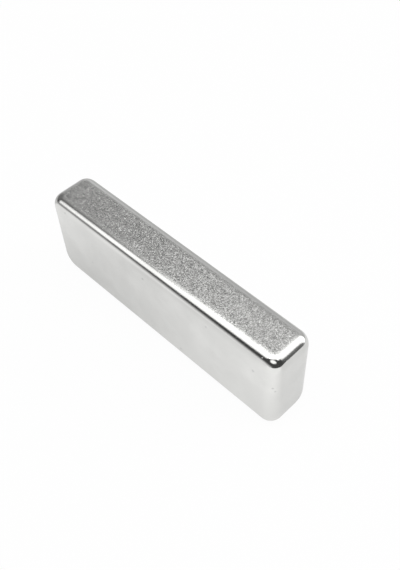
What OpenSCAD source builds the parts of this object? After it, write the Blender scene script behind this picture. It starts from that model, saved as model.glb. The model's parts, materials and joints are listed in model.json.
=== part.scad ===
/* [Block] */
// Length of the block, along X
length = 60; // [30:1:100]
// Thickness between the two large faces, along Y
thickness = 10; // [8:0.5:20]
// Height of the block as it stands on a long narrow face, along Z
height = 20; // [12:1:40]

/* [Tumbled edges] */
// Radius of the edge that runs round each large face
edge_r = 2.5; // [0.5:0.25:3.5]
// How much rounder the four corners of the large faces are worn than that edge
corner_wear = 0.25; // [0:0.25:2]

/* [Hidden] */
// Radius of a large face's corners, as seen square on to that face
corner_r = edge_r + corner_wear;
// Smoothness of the rounded edges
$fn = 96;

// Section of a bar as wide as the block is thick, with its four corners rounded by edge_r
module bar_section(span) {
    square([span - 2 * edge_r, thickness], center = true);
    square([span, thickness - 2 * edge_r], center = true);
    for (side = [-1, 1], face = [-1, 1])
        translate([side * (span / 2 - edge_r), face * (thickness / 2 - edge_r)])
            circle(r = edge_r);
}

// Full-length bar: it carries the top, the base and the middle of the large faces
module lengthwise_bar() {
    rotate([90, 0, 90])
        linear_extrude(height = length - 2 * corner_r, center = true)
            rotate(90) bar_section(height);
}

// Upright bar: it carries the two end faces
module upright_bar() {
    linear_extrude(height = height - 2 * corner_r, center = true)
        bar_section(length);
}

// Round pad that turns the rounded edge through a corner of the large faces
module corner_pad() {
    rotate([90, 0, 0])
        rotate_extrude()
            intersection() {
                bar_section(2 * corner_r);
                translate([0, -thickness / 2]) square([corner_r, thickness]);
            }
}

// The whole magnet, cut and tumbled as one solid, standing on its lower narrow face
module magnet_block() {
    color("silver")
    translate([0, 0, height / 2]) {
        lengthwise_bar();
        upright_bar();
        for (end = [-1, 1], level = [-1, 1])
            translate([end * (length / 2 - corner_r), 0, level * (height / 2 - corner_r)])
                corner_pad();
    }
}

magnet_block();
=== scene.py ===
"""A nickel-plated block magnet on a white table, seen close up over its near corner."""

import json
import math

import bmesh
import bpy
from mathutils import Matrix, Vector, noise


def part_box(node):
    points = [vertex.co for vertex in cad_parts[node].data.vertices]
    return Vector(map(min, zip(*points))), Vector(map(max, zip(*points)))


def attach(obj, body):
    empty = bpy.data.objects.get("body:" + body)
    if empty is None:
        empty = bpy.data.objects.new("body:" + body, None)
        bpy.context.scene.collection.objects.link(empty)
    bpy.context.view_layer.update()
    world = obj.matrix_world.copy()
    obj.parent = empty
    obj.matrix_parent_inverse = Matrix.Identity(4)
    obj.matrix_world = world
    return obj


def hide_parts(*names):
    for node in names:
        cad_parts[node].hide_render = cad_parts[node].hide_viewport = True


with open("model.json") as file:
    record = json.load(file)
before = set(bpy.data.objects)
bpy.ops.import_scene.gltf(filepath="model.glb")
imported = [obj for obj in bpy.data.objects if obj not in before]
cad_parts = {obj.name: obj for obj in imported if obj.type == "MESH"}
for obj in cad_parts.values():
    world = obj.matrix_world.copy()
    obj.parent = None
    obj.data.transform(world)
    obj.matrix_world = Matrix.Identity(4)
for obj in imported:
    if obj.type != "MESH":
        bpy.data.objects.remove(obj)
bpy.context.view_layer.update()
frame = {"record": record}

bl_info = {
    "name": "Block Magnet",
    "version": (1, 0, 0),
    "blender": (4, 5, 0),
    "location": "View3D > Sidebar > Block Magnet",
    "description": "A tumbled, nickel-plated block magnet and the white studio that it stands in",
    "category": "Object",
}

MM = 0.001
NODE = "magnet_block"
PLATING = frame["record"]["materials"][0]["slot"]

# Distance within which two places count as one, in millimetres
SAME_PLACE = 1e-4

# Least share of a unit normal along an axis: for a large face, and for a point that is on a
# narrow face or on the first part of its rounded edge
LARGE_FACE = 0.99
NARROW_FACE = 0.9

# Small pits in the plating: place on the surface, width and depth, all in millimetres
PITS = (
    ((-25.0, -5.0, 18.1), 0.55, 0.05),
    ((-2.4, -5.0, 16.4), 0.60, 0.06),
    ((14.0, -5.0, 16.8), 0.50, 0.05),
    ((25.1, -5.0, 14.7), 0.65, 0.03),
    ((29.1, -4.4, 12.9), 0.55, 0.04),
    ((29.5, -4.1, 11.9), 0.50, 0.04),
    ((29.9, 3.1, 15.3), 0.50, 0.05),
    ((26.3, -4.3, 19.3), 0.40, 0.05),
    ((6.7, -5.0, 3.1), 0.60, 0.04),
    ((-18.6, -5.0, 8.4), 0.45, 0.03),
    ((17.5, 5.0, 12.2), 0.60, 0.05),
    ((-9.8, 5.0, 5.1), 0.50, 0.05),
    ((-23.4, 5.0, 14.6), 0.70, 0.04),
    ((-30.0, -1.6, 7.2), 0.60, 0.05),
    ((-30.0, 1.4, 14.1), 0.45, 0.04),
    ((-28.6, 4.2, 19.1), 0.45, 0.05),
    ((28.2, 4.6, 18.9), 0.45, 0.06),
    ((-11.2, -0.8, 0.0), 0.60, 0.05),
)

# How far round a pit the mesh is refined, in widths of the pit, and how many times over
PIT_REACH = 0.9
PIT_REFINEMENTS = 2

# Corners that tumbling has worn rounder: which way each points, and how far it is worn down
# in millimetres
WORN_CORNERS = (
    ((-1, -1, -1), 0.45),
    ((1, 1, -1), 0.30),
)

# Depth over which a worn corner passes into the faces round it, in millimetres
WEAR_BLEND = 1.0

# Waves that tumbling leaves in the surface: width in millimetres, then height as a share of
# the unevenness. The shift sets the fine waves apart from the broad ones
BROAD_WAVE = (7.0, 0.35)
FINE_WAVE = (2.6, 0.15)
FINE_WAVE_SHIFT = (31.0, 17.0, 5.0)
MEAN_WEAR = 0.5

# Tumbling polishes the surface where no axis has more than this share of its normal, and
# fully where the largest share is less than that by the turn
POLISH_START = 0.995
POLISH_TURN = 0.08

# Widths of the cloudy patterns in the plating, in millimetres
PORE_WIDTH = 0.25
FLECK_WIDTH = 1.6
SMUDGE_WIDTH = 7.0

# How much wider the large grains are than the small ones that lie on them, and how far they
# and the pores lean, as shares of the small grains' lean
GRAIN_CLUMP = 1.6
LARGE_GRAIN_LEAN = 0.75
PORE_LEAN = 0.05

# Share of the grain's full height that shows on the large faces and the ends
PLAIN_FACE_GRAIN = 0.06

# Width of the strip outside a narrow face's flat part over which the grain fades, in millimetres
GRAIN_FADE = 1.0

# Values of the smudge and fleck patterns between which the finish changes
SMUDGE_RANGE = (0.35, 0.65)
FLECK_RANGE = (0.4, 0.7)

# Shares of the clean colour: inside and outside the smudges, in the darkest grains, in pits
SMUDGE_SHADES = (0.96, 1.02)
DARK_GRAIN = (0.84, 0.84, 0.84)
PIT_STAIN = (0.76, 0.76, 0.77)

# Roughness of the polished edges as a share of the faces' own, and what the flecks add to it
# on the faces and on the edges
EDGE_POLISH = 0.4
FACE_DULLING = 0.05
EDGE_DULLING = 0.03

# Lit patches of the tent: azimuth from the front towards the right, elevation, half width,
# half height and lean, all in degrees, then how soft the edge is and how bright the patch
TENT_PATCHES = {
    "overhead": (42, 85, 38, 24, 0, 0.20, 1.40),
    "overhead glow": (-121, 65, 14, 9, 15, 0.80, 0.24),
    "glow behind": (-138, 54, 10, 5.5, 0, 0.50, 0.85),
    "left glow": (-74, 57, 15, 12, 0, 0.80, 0.26),
    "window": (38, 44.5, 22, 12, -10, 0.28, 1.35),
    "front left": (-33.2, 57, 11, 43, -17, 0.38, 1.40),
    "right back": (142, 28, 19.5, 31, 17, 0.18, 1.25),
    "right link": (108, 54, 14, 11, 0, 0.20, 1.30),
    "left wall": (-107, 24, 44, 44, 0, 0.40, 0.135),
    "left wall, low": (-113, 13, 18, 11, 0, 0.80, 0.15),
    "left back wall": (160, 34, 28, 58, -28, 0.95, 0.48),
    "back wall, low": (-150, 6, 36, 24, 0, 0.60, 0.50),
    "low front": (-21, -4, 44, 14.5, 7, 0.90, 0.85),
}

# Brightness of the table as the metal mirrors it. It is painted light and painted shade: first
# the least of it, then the painted light that it gains along an axis from a first place to a
# second one, in metres. It is brighter towards the right, the front and the far left, and darker
# at the magnet's front foot as a painted contact shadow. Last comes the share that it loses to
# painted shade at the back left, where Y less X goes from a first length to a second one
TABLE_WHITE = 0.58
TABLE_PAINTED_LIGHT = (
    ("X", -0.020, 0.035, 0.325),
    ("Y", 0.001, -0.011, 0.33),
    ("X", -0.024, -0.050, 0.20),
)
TABLE_PAINTED_SHADE = (0.042, 0.062, 0.45)

# Share of the table that glows by itself, to the camera and in metal or glass. The tent lights
# the rest, which keeps the magnet's shadow
GLOW_SEEN = 0.96
GLOW_MIRRORED = 0.70

# Brightness of the room, which the camera sees past the edge of the table
ROOM_WHITE = 0.99

# Width of the camera's sensor in millimetres, and the nearest and farthest that it sees in
# metres
SENSOR_WIDTH = 36.0
SIGHT = (0.005, 10.0)


class BlockShape(bpy.types.PropertyGroup):
    """Sizes of the tumbled block. Its length, thickness and height come from the frame."""

    corner_radius: bpy.props.FloatProperty(
        name="Corner radius",
        description="Radius of the four corners of each large face",
        default=2.75 * MM,
        min=0.1 * MM,
        precision=5,
        subtype="DISTANCE",
        unit="LENGTH",
    )
    edge_radius: bpy.props.FloatProperty(
        name="Edge radius",
        description="Radius of the edge that runs round each large face",
        default=2.5 * MM,
        min=0.1 * MM,
        precision=5,
        subtype="DISTANCE",
        unit="LENGTH",
    )
    edge_segments: bpy.props.IntProperty(
        name="Edge segments",
        description="Strips that make up a quarter turn of a rounded edge",
        default=14,
        min=4,
    )
    mesh_pitch: bpy.props.FloatProperty(
        name="Mesh pitch",
        description="Width of the squares that the flat faces are cut into",
        default=0.45 * MM,
        min=0.2 * MM,
        precision=5,
        subtype="DISTANCE",
        unit="LENGTH",
    )
    unevenness: bpy.props.FloatProperty(
        name="Unevenness",
        description="How far tumbling has worn the surface below its true shape",
        default=0.008 * MM,
        min=0.0,
        precision=6,
        subtype="DISTANCE",
        unit="LENGTH",
    )


class NickelFinish(bpy.types.PropertyGroup):
    """Colour and surface of the nickel plating."""

    colour: bpy.props.FloatVectorProperty(
        name="Colour",
        description="Colour of the clean plating",
        default=(0.705, 0.705, 0.690),
        min=0.0,
        max=1.0,
        subtype="COLOR",
    )
    roughness: bpy.props.FloatProperty(
        name="Roughness",
        description="Roughness of the plating on the faces, between the flecks",
        default=0.15,
        min=0.0,
        max=1.0,
        subtype="FACTOR",
    )
    grain_width: bpy.props.FloatProperty(
        name="Grain width",
        description="Width of the grains that show through the plating",
        default=0.17 * MM,
        min=0.05 * MM,
        precision=5,
        subtype="DISTANCE",
        unit="LENGTH",
    )
    grain_tilt: bpy.props.FloatProperty(
        name="Grain tilt",
        description="How far the grains on the long narrow faces may lean",
        default=math.radians(6.0),
        min=0.0,
        subtype="ANGLE",
        unit="ROTATION",
    )


class StudioSetup(bpy.types.PropertyGroup):
    """Floor, light tent and camera."""

    floor_colour: bpy.props.FloatVectorProperty(
        name="Floor colour",
        description="Colour of the table top",
        default=(0.9, 0.9, 0.9),
        min=0.0,
        max=1.0,
        subtype="COLOR",
    )
    tent_radius: bpy.props.FloatProperty(
        name="Tent radius",
        description="Radius of the light tent over the table",
        default=1.5,
        min=0.5,
        subtype="DISTANCE",
        unit="LENGTH",
    )
    room_grey: bpy.props.FloatProperty(
        name="Room grey",
        description="Brightness of the tent where no lamp lights it",
        default=0.07,
        min=0.0,
        subtype="FACTOR",
    )
    camera_azimuth: bpy.props.FloatProperty(
        name="Camera azimuth",
        description="Turn of the camera round the magnet, from the front towards the right",
        default=math.radians(47.49),
        subtype="ANGLE",
        unit="ROTATION",
    )
    camera_elevation: bpy.props.FloatProperty(
        name="Camera elevation",
        description="Height of the camera above the horizon",
        default=math.radians(50.21),
        subtype="ANGLE",
        unit="ROTATION",
    )
    camera_roll: bpy.props.FloatProperty(
        name="Camera roll",
        description="Turn of the camera about its own line of sight",
        default=math.radians(-3.25),
        subtype="ANGLE",
        unit="ROTATION",
    )
    camera_offset: bpy.props.FloatVectorProperty(
        name="Camera offset",
        description="Middle of the magnet as the camera sees it: right, up and away",
        default=(-5.115 * MM, -1.464 * MM, 143.14 * MM),
        precision=5,
        subtype="TRANSLATION",
        unit="LENGTH",
    )
    lens: bpy.props.FloatProperty(
        name="Lens",
        description="Focal length of the camera",
        default=47.05,
        min=10.0,
        unit="CAMERA",
    )


# Mesh of the block


def cut_rounded_block(shape):
    """Returns a bmesh of the block in millimetres, with all of its edges rounded."""
    low, high = (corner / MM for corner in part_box(NODE))
    middle = (low + high) / 2
    half = (high - low) / 2
    corner = shape.corner_radius / MM
    edge = shape.edge_radius / MM

    # The middle slab, without the rounded edges that carry on to the two large faces
    block = bmesh.new()
    block.verts.layers.float.new("pit")
    bmesh.ops.create_cube(block, size=1.0)
    slab = Vector((2 * half.x, 2 * (half.y - edge), 2 * half.z))
    bmesh.ops.scale(block, vec=slab, verts=block.verts)
    bmesh.ops.translate(block, vec=middle, verts=block.verts)
    crosswise = [
        e for e in block.edges if abs(e.verts[0].co.y - e.verts[1].co.y) > SAME_PLACE
    ]
    bmesh.ops.bevel(
        block,
        geom=crosswise,
        offset=corner,
        offset_type="OFFSET",
        affect="EDGES",
        segments=shape.edge_segments,
        profile=0.5,
        material=-1,
    )

    # Each large face is drawn in and raised step by step, through a quarter turn
    large_faces = [f for f in block.faces if abs(f.normal.y) > LARGE_FACE]
    turn = math.pi / 2 / shape.edge_segments
    for step in range(shape.edge_segments):
        before, after = turn * step, turn * (step + 1)
        bmesh.ops.inset_region(
            block,
            faces=large_faces,
            thickness=edge * (math.cos(before) - math.cos(after)),
            depth=edge * (math.sin(after) - math.sin(before)),
            use_even_offset=True,
        )

    # The flat faces are cut into squares, and the cuts run on across the rounded edges
    pitch = shape.mesh_pitch / MM
    for axis, inset in ((0, corner), (1, edge), (2, corner)):
        span = half[axis] - inset
        cuts = max(1, round(2 * span / pitch))
        across = Vector((0, 0, 0))
        across[axis] = 1.0
        for cut in range(cuts + 1):
            place = middle + across * span * (2 * cut / cuts - 1)
            everything = block.verts[:] + block.edges[:] + block.faces[:]
            bmesh.ops.bisect_plane(
                block,
                geom=everything,
                dist=SAME_PLACE,
                plane_co=place,
                plane_no=across,
            )
    return block


def wear_corner(block, way, depth):
    """Rounds one corner off softly by a depth in millimetres, along the way it points."""
    out = Vector(way).normalized()
    limit = max(vert.co.dot(out) for vert in block.verts) - depth
    for vert in block.verts:
        beyond = vert.co.dot(out) - limit
        if beyond > -WEAR_BLEND:
            kept = -WEAR_BLEND * math.exp(-(beyond / WEAR_BLEND + 1))
            vert.co -= out * (beyond - kept)


def wear_surface(block, depth):
    """Sinks the surface by up to depth in broad soft waves, as tumbling leaves it."""
    block.normal_update()
    broad_width, broad_share = BROAD_WAVE
    fine_width, fine_share = FINE_WAVE
    shift = Vector(FINE_WAVE_SHIFT)
    sunk = []
    for vert in block.verts:
        broad = noise.noise(vert.co / broad_width)
        fine = noise.noise(vert.co / fine_width + shift)
        share = MEAN_WEAR + broad_share * broad + fine_share * fine
        sunk.append((vert, vert.normal * (-depth * share)))
    for vert, step in sunk:
        vert.co += step


def press_pit(block, place, width, depth):
    """Refines the mesh round a place on the surface and presses a small pit into it."""
    pit = block.verts.layers.float["pit"]
    reach = PIT_REACH * width
    for _ in range(PIT_REFINEMENTS):
        near = [e for e in block.edges if edge_middle_distance(e, place) < reach]
        bmesh.ops.subdivide_edges(block, edges=near, cuts=1, use_grid_fill=True)
    block.normal_update()
    for vert in block.verts:
        share = 1.0 - ((vert.co - place).length / (width / 2)) ** 2
        if share > 0.0:
            vert.co -= vert.normal * (depth * share * share)
            vert[pit] = share


def edge_middle_distance(edge, place):
    return ((edge.verts[0].co + edge.verts[1].co) / 2 - place).length


def store_finish(mesh, shape):
    """Stores where the grain shows, on the long narrow faces, and where tumbling polishes."""
    low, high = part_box(NODE)
    flat_x = (high.x - low.x) / 2 - shape.corner_radius
    flat_y = (high.y - low.y) / 2 - shape.edge_radius
    grain = mesh.attributes.new("grain", "FLOAT", "POINT")
    polish = mesh.attributes.new("polish", "FLOAT", "POINT")
    for index, vert in enumerate(mesh.vertices):
        leans = max(abs(part) for part in vert.normal)
        polish.data[index].value = min(1.0, max(0.0, (POLISH_START - leans) / POLISH_TURN))
        if abs(vert.normal.z) > NARROW_FACE:
            inside = min(flat_x - abs(vert.co.x), flat_y - abs(vert.co.y)) / MM
            grain.data[index].value = min(1.0, max(0.0, 1.0 + inside / GRAIN_FADE))


# Nickel plating


def new_node(tree, kind, place, **settings):
    node = tree.nodes.new(kind)
    node.location = place
    for name, value in settings.items():
        setattr(node, name, value)
    return node


def soft_step(tree, value, low, high, start, end, place):
    """A smooth change from start to end while value goes from low to high."""
    step = new_node(tree, "ShaderNodeMapRange", place, interpolation_type="SMOOTHSTEP")
    step.inputs["From Min"].default_value = low
    step.inputs["From Max"].default_value = high
    step.inputs["To Min"].default_value = start
    step.inputs["To Max"].default_value = end
    tree.links.new(value, step.inputs["Value"])
    return step.outputs["Result"]


def rise(tree, value, low, high, amount, place):
    """An even rise from nothing to an amount while value goes from low to high."""
    change = new_node(tree, "ShaderNodeMapRange", place)
    change.inputs["From Min"].default_value = low
    change.inputs["From Max"].default_value = high
    change.inputs["To Min"].default_value = 0.0
    change.inputs["To Max"].default_value = amount
    tree.links.new(value, change.inputs["Value"])
    return change.outputs["Result"]


def darken(tree, colour, factor, tint, place):
    """Multiplies a colour by a tint, as far as factor says."""
    mix = new_node(tree, "ShaderNodeMix", place, data_type="RGBA", blend_type="MULTIPLY")
    tree.links.new(factor, mix.inputs["Factor"])
    tree.links.new(colour, mix.inputs["A"])
    mix.inputs["B"].default_value = (*tint, 1.0)
    return mix.outputs["Result"]


def arithmetic(tree, operation, first, second, place):
    """One sum on two values, each of them a number or a socket."""
    node = new_node(tree, "ShaderNodeMath", place, operation=operation)
    for socket, value in zip(node.inputs, (first, second)):
        if isinstance(value, (int, float)):
            socket.default_value = value
        else:
            tree.links.new(value, socket)
    return node.outputs["Value"]


def facets(tree, place, width, tilt, row):
    """Grains of a width in millimetres: each leans its own way and has its own tint."""
    grains = new_node(tree, "ShaderNodeTexVoronoi", (-1100, row))
    grains.inputs["Scale"].default_value = 1 / width
    tree.links.new(place, grains.inputs["Vector"])
    across = new_node(tree, "ShaderNodeVectorMath", (-850, row), operation="SUBTRACT")
    tree.links.new(place, across.inputs[0])
    tree.links.new(grains.outputs["Position"], across.inputs[1])
    lean = new_node(tree, "ShaderNodeVectorMath", (-850, row - 200), operation="SUBTRACT")
    tree.links.new(grains.outputs["Color"], lean.inputs[0])
    lean.inputs[1].default_value = (0.5, 0.5, 0.5)
    facet = new_node(tree, "ShaderNodeVectorMath", (-650, row), operation="DOT_PRODUCT")
    tree.links.new(across.outputs["Vector"], facet.inputs[0])
    tree.links.new(lean.outputs["Vector"], facet.inputs[1])
    height = arithmetic(tree, "MULTIPLY", facet.outputs["Value"], tilt, (-450, row))
    tint = new_node(tree, "ShaderNodeSeparateColor", (-850, row + 150))
    tree.links.new(grains.outputs["Color"], tint.inputs["Color"])
    return {"height": height, "tint": tint.outputs["Blue"]}


def nickel_plating(finish):
    """Bright nickel over a sintered block: grains, cloudy sheen and polished edges."""
    material = bpy.data.materials.new(PLATING)
    material.use_nodes = True
    tree = material.node_tree
    tree.nodes.clear()
    link = tree.links.new
    output = new_node(tree, "ShaderNodeOutputMaterial", (1200, 0))
    metal = new_node(tree, "ShaderNodeBsdfPrincipled", (900, 0))
    metal.inputs["Metallic"].default_value = 1.0
    link(metal.outputs["BSDF"], output.inputs["Surface"])

    place = new_node(tree, "ShaderNodeTexCoord", (-1600, 0))
    in_mm = new_node(tree, "ShaderNodeMapping", (-1400, 0))
    in_mm.inputs["Scale"].default_value = (1 / MM, 1 / MM, 1 / MM)
    link(place.outputs["Object"], in_mm.inputs["Vector"])
    grained = new_node(tree, "ShaderNodeAttribute", (-1400, -400), attribute_name="grain")
    polished = new_node(tree, "ShaderNodeAttribute", (-1400, 700), attribute_name="polish")
    pitted = new_node(tree, "ShaderNodeAttribute", (-1400, 950), attribute_name="pit")

    def pattern(width, detail, spot):
        cloud = new_node(tree, "ShaderNodeTexNoise", spot)
        cloud.inputs["Scale"].default_value = 1 / width
        cloud.inputs["Detail"].default_value = detail
        link(in_mm.outputs["Vector"], cloud.inputs["Vector"])
        return cloud.outputs["Fac"]

    pores = pattern(PORE_WIDTH, 1.0, (-1100, -900))
    smudges = pattern(SMUDGE_WIDTH, 3.0, (-1100, 200))
    flecks = pattern(FLECK_WIDTH, 2.0, (-1100, 450))
    tilt = 2 * math.tan(finish.grain_tilt)
    small = facets(tree, in_mm.outputs["Vector"], finish.grain_width / MM, tilt, -500)
    clump = GRAIN_CLUMP * finish.grain_width / MM
    large = facets(tree, in_mm.outputs["Vector"], clump, LARGE_GRAIN_LEAN * tilt, -1100)

    # Colour: faint smudges, every grain a little lighter or darker, and dull pits
    clean = Vector(finish.colour)
    smudged = new_node(tree, "ShaderNodeMix", (0, 300), data_type="RGBA")
    for end, share in zip("AB", SMUDGE_SHADES):
        smudged.inputs[end].default_value = (*(clean * share), 1.0)
    clear = soft_step(tree, smudges, *SMUDGE_RANGE, 0.0, 1.0, (-300, 300))
    link(clear, smudged.inputs["Factor"])
    both = arithmetic(tree, "ADD", small["tint"], large["tint"], (-300, 0))
    mean = arithmetic(tree, "MULTIPLY", both, 0.5, (-150, 0))
    dark = arithmetic(tree, "MULTIPLY", mean, grained.outputs["Fac"], (0, 0))
    speckled = darken(tree, smudged.outputs["Result"], dark, DARK_GRAIN, (300, 200))
    stained = darken(tree, speckled, pitted.outputs["Fac"], PIT_STAIN, (600, 200))
    link(stained, metal.inputs["Base Color"])

    # Roughness: a little duller in small flecks, and polished along the edges
    rough = finish.roughness
    bright = EDGE_POLISH * rough
    face = soft_step(tree, flecks, *FLECK_RANGE, rough, rough + FACE_DULLING, (-700, 500))
    edge = soft_step(tree, flecks, *FLECK_RANGE, bright, bright + EDGE_DULLING, (-700, 750))
    sheen = new_node(tree, "ShaderNodeMix", (-300, 600), data_type="FLOAT")
    link(polished.outputs["Fac"], sheen.inputs["Factor"])
    link(face, sheen.inputs["A"])
    link(edge, sheen.inputs["B"])
    link(sheen.outputs["Result"], metal.inputs["Roughness"])

    # Grain: small facets on larger ones, hardly raised on the large faces and the ends
    share = soft_step(tree, grained.outputs["Fac"], 0.0, 1.0, PLAIN_FACE_GRAIN, 1.0, (0, -300))
    fine = arithmetic(tree, "MULTIPLY", pores, PORE_LEAN * tilt, (-300, -850))
    bumps = arithmetic(tree, "ADD", small["height"], large["height"], (-100, -650))
    bumps = arithmetic(tree, "ADD", bumps, fine, (100, -650))
    raised = arithmetic(tree, "MULTIPLY", bumps, share, (300, -500))
    bump = new_node(tree, "ShaderNodeBump", (600, -400))
    bump.inputs["Strength"].default_value = 1.0
    bump.inputs["Distance"].default_value = MM
    link(raised, bump.inputs["Height"])
    link(bump.outputs["Normal"], metal.inputs["Normal"])
    return material


# Studio


def direction(azimuth, elevation):
    """Unit vector: azimuth from the front (-Y) towards the right (+X), in radians."""
    return Vector(
        (
            math.sin(azimuth) * math.cos(elevation),
            -math.cos(azimuth) * math.cos(elevation),
            math.sin(elevation),
        )
    )


def viewing_turn(azimuth, elevation, roll=0.0):
    """Rotation that turns +Z towards a direction and keeps +Y upright."""
    back = direction(azimuth, elevation)
    right = Vector((0, 0, 1)).cross(back).normalized()
    up = back.cross(right)
    turned_right = math.cos(roll) * right + math.sin(roll) * up
    turned_up = math.cos(roll) * up - math.sin(roll) * right
    return Matrix((turned_right, turned_up, back)).transposed()


def tent_cloth(setup, middle):
    """Cloth of the light tent: dim grey, with soft patches where lamps stand behind it."""
    material = bpy.data.materials.new("tent_cloth")
    material.use_nodes = True
    tree = material.node_tree
    tree.nodes.clear()
    link = tree.links.new
    output = new_node(tree, "ShaderNodeOutputMaterial", (1200, 0))
    glow = new_node(tree, "ShaderNodeEmission", (1000, 0))
    link(glow.outputs["Emission"], output.inputs["Surface"])
    place = new_node(tree, "ShaderNodeTexCoord", (-1000, 0))
    from_magnet = new_node(tree, "ShaderNodeVectorMath", (-800, 0), operation="SUBTRACT")
    from_magnet.inputs[1].default_value = middle
    link(place.outputs["Object"], from_magnet.inputs[0])

    brightness = None
    for row, patch in enumerate(TENT_PATCHES.values()):
        azimuth, elevation, half_width, half_height, lean = (math.radians(a) for a in patch[:5])
        softness, level = patch[5:]
        # The patch is turned on to +Z and stretched, so that its edge leans 45 degrees
        spot = new_node(tree, "ShaderNodeMapping", (-500, -350 * row), vector_type="TEXTURE")
        spot.inputs["Rotation"].default_value = viewing_turn(azimuth, elevation, lean).to_euler()
        spot.inputs["Scale"].default_value = (math.tan(half_width), math.tan(half_height), 1.0)
        link(from_magnet.outputs["Vector"], spot.inputs["Vector"])
        ray = new_node(tree, "ShaderNodeVectorMath", (-300, -350 * row), operation="NORMALIZE")
        link(spot.outputs["Vector"], ray.inputs[0])
        parts = new_node(tree, "ShaderNodeSeparateXYZ", (-100, -350 * row))
        link(ray.outputs["Vector"], parts.inputs["Vector"])
        outside = 1 / math.hypot(1.0, 1.0 + softness)
        inside = 1 / math.hypot(1.0, 1.0 - softness)
        lit = soft_step(tree, parts.outputs["Z"], outside, inside, 0.0, level, (100, -350 * row))
        if brightness is None:
            brightness = lit
        else:
            brightness = arithmetic(tree, "ADD", brightness, lit, (400, -350 * row))
    total = arithmetic(tree, "ADD", brightness, setup.room_grey, (700, 0))
    link(total, glow.inputs["Strength"])
    return material


def floor_paint(setup):
    """White table top: it shows as white to the camera, in the metal it shows with painted light
    and painted shade, and it keeps a shadow.
    """
    material = bpy.data.materials.new("white_table")
    material.use_nodes = True
    tree = material.node_tree
    tree.nodes.clear()
    link = tree.links.new
    output = new_node(tree, "ShaderNodeOutputMaterial", (600, 0))
    paint = new_node(tree, "ShaderNodeBsdfDiffuse", (0, -150))
    paint.inputs["Color"].default_value = (*setup.floor_colour, 1.0)
    white = new_node(tree, "ShaderNodeEmission", (0, 0))
    ray = new_node(tree, "ShaderNodeLightPath", (-1100, 200))
    place = new_node(tree, "ShaderNodeTexCoord", (-1100, -300))
    parts = new_node(tree, "ShaderNodeSeparateXYZ", (-900, -300))
    link(place.outputs["Object"], parts.inputs["Vector"])
    # Painted light: what the metal mirrors of the table grows brighter towards the right, the
    # front and the far left, and darker at the magnet's front foot as a painted contact shadow
    lit = TABLE_WHITE
    for row, (axis, start, end, amount) in enumerate(TABLE_PAINTED_LIGHT):
        painted_light = rise(tree, parts.outputs[axis], start, end, amount, (-700, -250 * row))
        lit = arithmetic(tree, "ADD", painted_light, lit, (-500, -250 * row))
    # Painted shade: what the metal mirrors of the table is darker at the back left
    back_left = arithmetic(tree, "SUBTRACT", parts.outputs["Y"], parts.outputs["X"], (-700, -800))
    start, end, depth = TABLE_PAINTED_SHADE
    painted_shade = soft_step(tree, back_left, start, end, 1.0, 1.0 - depth, (-500, -800))
    level = arithmetic(tree, "MULTIPLY", lit, painted_shade, (-350, -500))
    whiteness = new_node(tree, "ShaderNodeMix", (-200, -150), data_type="FLOAT")
    whiteness.inputs["B"].default_value = 1.0
    link(ray.outputs["Is Camera Ray"], whiteness.inputs["Factor"])
    link(level, whiteness.inputs["A"])
    link(whiteness.outputs["Result"], white.inputs["Strength"])
    seen, mirrored, through = (
        arithmetic(tree, "MULTIPLY", ray.outputs[kind], glow, (-300, row))
        for kind, glow, row in (
            ("Is Camera Ray", GLOW_SEEN, 300),
            ("Is Glossy Ray", GLOW_MIRRORED, 150),
            ("Is Transmission Ray", GLOW_MIRRORED, 0),
        )
    )
    share = arithmetic(tree, "MAXIMUM", seen, mirrored, (-100, 250))
    share = arithmetic(tree, "MAXIMUM", share, through, (100, 250))
    mix = new_node(tree, "ShaderNodeMixShader", (350, 0))
    link(share, mix.inputs["Fac"])
    link(paint.outputs["BSDF"], mix.inputs[1])
    link(white.outputs["Emission"], mix.inputs[2])
    link(mix.outputs["Shader"], output.inputs["Surface"])
    return material


def add_object(name, mesh, material):
    thing = bpy.data.objects.new(name, mesh)
    bpy.context.scene.collection.objects.link(thing)
    mesh.materials.append(material)
    return thing


def mesh_from(block, name):
    mesh = bpy.data.meshes.new(name)
    block.to_mesh(mesh)
    block.free()
    return mesh


def add_floor(setup):
    disc = bmesh.new()
    bmesh.ops.create_circle(disc, cap_ends=True, segments=64, radius=setup.tent_radius)
    floor = add_object("table_top", mesh_from(disc, "table_top"), floor_paint(setup))


def add_tent(setup, middle):
    dome = bmesh.new()
    bmesh.ops.create_icosphere(dome, subdivisions=4, radius=setup.tent_radius)
    tent = add_object("light_tent", mesh_from(dome, "light_tent"), tent_cloth(setup, middle))
    tent.visible_camera = False


def paint_world():
    world = bpy.data.worlds.new("white_room")
    world.use_nodes = True
    background = world.node_tree.nodes["Background"]
    background.inputs["Color"].default_value = (1.0, 1.0, 1.0, 1.0)
    background.inputs["Strength"].default_value = ROOM_WHITE
    bpy.context.scene.world = world


def add_camera(setup, middle):
    turn = viewing_turn(setup.camera_azimuth, setup.camera_elevation, setup.camera_roll)
    lens = bpy.data.cameras.new("close_up")
    lens.lens = setup.lens
    lens.sensor_width = SENSOR_WIDTH
    lens.clip_start, lens.clip_end = SIGHT
    camera = bpy.data.objects.new("close_up", lens)
    right, up, away = setup.camera_offset
    place = middle - turn @ Vector((right, up, -away))
    camera.matrix_world = Matrix.Translation(place) @ turn.to_4x4()
    bpy.context.scene.collection.objects.link(camera)
    bpy.context.scene.camera = camera


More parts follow.
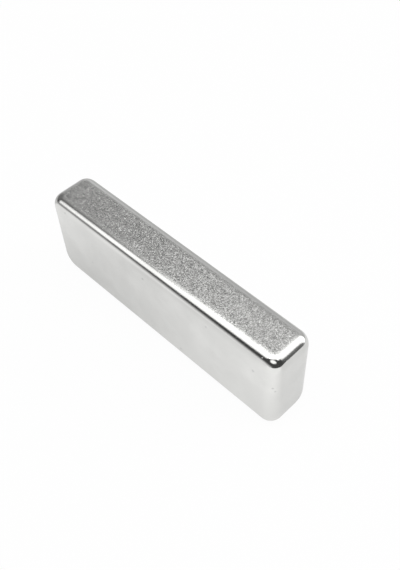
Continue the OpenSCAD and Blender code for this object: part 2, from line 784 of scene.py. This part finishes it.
class MAGNET_OT_block(bpy.types.Operator):
    """Model the tumbled magnet and plate it with nickel"""

    bl_idname = "magnet.block"
    bl_label = "Block Magnet"

    def execute(self, context):
        shape = context.scene.block_shape
        block = cut_rounded_block(shape)
        for way, depth in WORN_CORNERS:
            wear_corner(block, way, depth)
        wear_surface(block, shape.unevenness / MM)
        for place, width, depth in PITS:
            press_pit(block, Vector(place), width, depth)
        bmesh.ops.scale(block, vec=(MM, MM, MM), verts=block.verts)
        for face in block.faces:
            face.smooth = True
        mesh = mesh_from(block, "plated_block")
        store_finish(mesh, shape)
        magnet = add_object("plated_block", mesh, nickel_plating(context.scene.nickel_finish))
        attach(magnet, "root")
        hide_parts(NODE)
        return {"FINISHED"}


class MAGNET_OT_studio(bpy.types.Operator):
    """Set up the white table, the light tent and the camera"""

    bl_idname = "magnet.studio"
    bl_label = "Studio"

    def execute(self, context):
        setup = context.scene.studio_setup
        low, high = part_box(NODE)
        middle = (low + high) / 2
        add_floor(setup)
        add_tent(setup, middle)
        paint_world()
        add_camera(setup, middle)
        context.scene.view_settings.view_transform = "Standard"
        return {"FINISHED"}


class MAGNET_PT_sidebar(bpy.types.Panel):
    """Lists the magnet and its studio"""

    bl_idname = "MAGNET_PT_sidebar"
    bl_label = "Block Magnet"
    bl_space_type = "VIEW_3D"
    bl_region_type = "UI"
    bl_category = "Block Magnet"

    def draw(self, context):
        scene = context.scene
        for operator, settings in (
            (MAGNET_OT_block, (scene.block_shape, scene.nickel_finish)),
            (MAGNET_OT_studio, (scene.studio_setup,)),
        ):
            box = self.layout.box()
            box.operator(operator.bl_idname)
            for group in settings:
                for name in group.__annotations__:
                    box.prop(group, name)


CLASSES = (
    BlockShape,
    NickelFinish,
    StudioSetup,
    MAGNET_OT_block,
    MAGNET_OT_studio,
    MAGNET_PT_sidebar,
)


def register():
    for cls in CLASSES:
        bpy.utils.register_class(cls)
    bpy.types.Scene.block_shape = bpy.props.PointerProperty(type=BlockShape)
    bpy.types.Scene.nickel_finish = bpy.props.PointerProperty(type=NickelFinish)
    bpy.types.Scene.studio_setup = bpy.props.PointerProperty(type=StudioSetup)


def unregister():
    del bpy.types.Scene.studio_setup
    del bpy.types.Scene.nickel_finish
    del bpy.types.Scene.block_shape
    for cls in reversed(CLASSES):
        bpy.utils.unregister_class(cls)


def main():
    register()
    bpy.ops.magnet.block()
    bpy.ops.magnet.studio()


if __name__ == "__main__":
    main()
